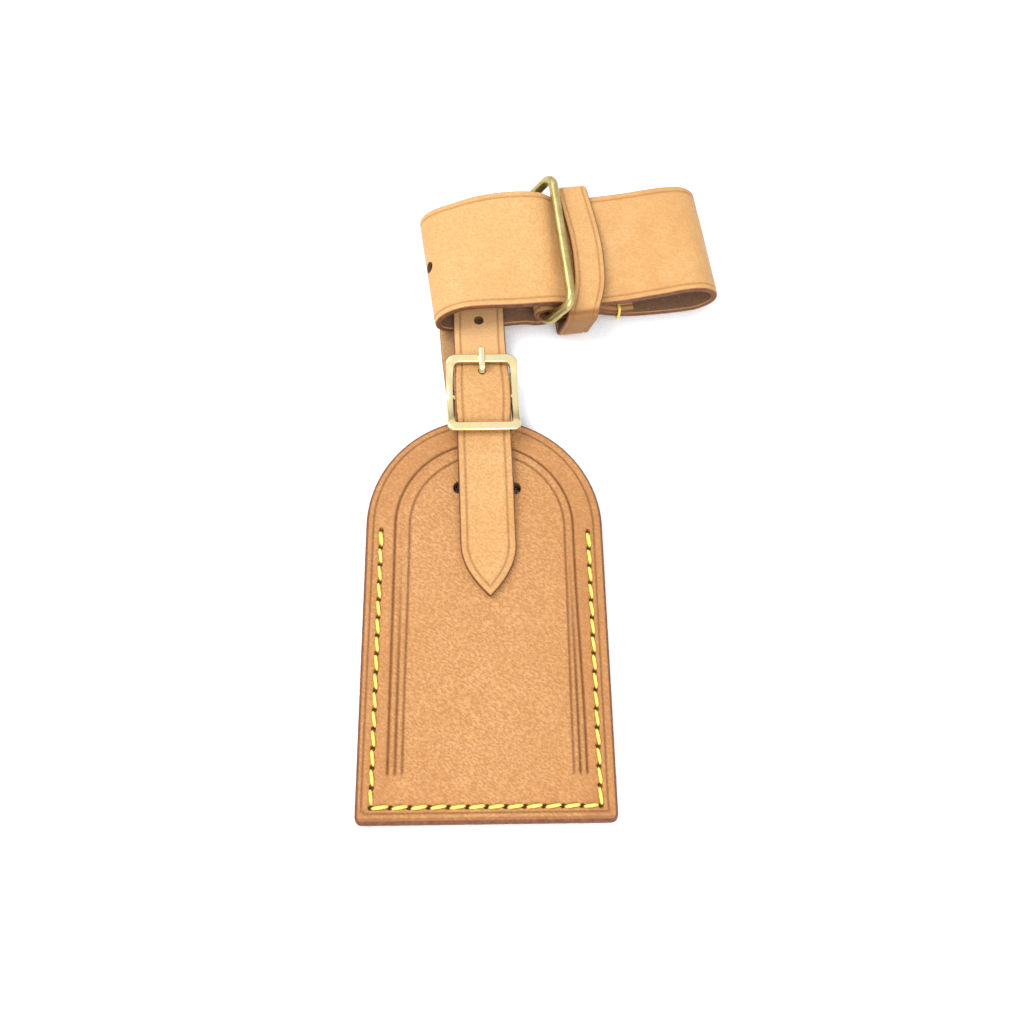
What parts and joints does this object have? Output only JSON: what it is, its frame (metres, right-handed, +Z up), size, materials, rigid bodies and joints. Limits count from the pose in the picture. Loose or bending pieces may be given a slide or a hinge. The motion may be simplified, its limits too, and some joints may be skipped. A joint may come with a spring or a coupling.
{
  "type": "luggage tag",
  "caption": "Arch-topped leather luggage tag with stitched panels and card pocket, a narrow buckled strap through its slot, and a wide handle band with a wire ring and keeper.",
  "frame": {"origin": "centre of the bounding box at table level, with the tag lying on its back", "axes": "+X to the right across the tag as seen from its front, +Y along the tag from its bottom edge towards the strap and the handle band, +Z up out of the front face"},
  "size_m": [0.1044, 0.1886, 0.0186],
  "materials": {
    "tag_leather": "natural vegetable-tanned leather, smooth, darkened by age, edges burnished",
    "strap_leather": "natural vegetable-tanned leather, smooth, creased along its edges",
    "band_leather": "pale natural vegetable-tanned leather, smooth, edges burnished",
    "thread": "waxed linen thread",
    "card": "matt white card",
    "pale_brass": "polished pale brass",
    "antique_brass": "dull antique brass with fine speckles"
  },
  "bodies": {
    "tag": {"front_panel": "tag_leather", "back_panel": "tag_leather", "thread_one": "thread", "thread_two": "thread"},
    "card": {"address_card": "card"},
    "strap": {"strap": "strap_leather", "strap_thread": "thread"},
    "buckle": {"buckle_frame": "pale_brass"},
    "prong": {"buckle_prong": "pale_brass"},
    "band": {"band": "band_leather", "band_thread": "thread"},
    "ring": {"ring": "antique_brass"},
    "keeper": {"keeper": "band_leather"}
  },
  "joints": [
    {"name": "card_slide", "type": "slide", "parent": "tag", "child": "card", "axis": [0, 0.9998, 0.0209], "range_m": [0, 0.004]},
    {"name": "strap_swing", "type": "hinge", "parent": "tag", "child": "strap", "pos_m": [-0.01913, -0.00504, 0.00376], "axis": [0, 0, 1], "range_deg": [-6, 2.5]},
    {"name": "buckle_tilt", "type": "hinge", "parent": "strap", "child": "buckle", "pos_m": [-0.01971, 0.02211, 0.00749], "axis": [0.9995, 0.0305, 0], "range_deg": [-0.4, 1.2]},
    {"name": "prong_lift", "type": "hinge", "parent": "buckle", "child": "prong", "pos_m": [-0.01971, 0.02211, 0.00749], "axis": [0.9995, 0.0305, 0], "range_deg": [0, 5]},
    {"name": "band_slide", "type": "slide", "parent": "strap", "child": "band", "axis": [0.9903, 0.1392, 0], "range_m": [-0.004, 0.002]},
    {"name": "ring_flip", "type": "hinge", "parent": "band", "child": "ring", "pos_m": [-0.00275, 0.0701, 0.00619], "axis": [0.0993, -0.9951, 0], "range_deg": [0, 20]},
    {"name": "keeper_slide", "type": "slide", "parent": "band", "child": "keeper", "axis": [0.9903, 0.1392, 0], "range_m": [0, 0.005]}
  ]
}
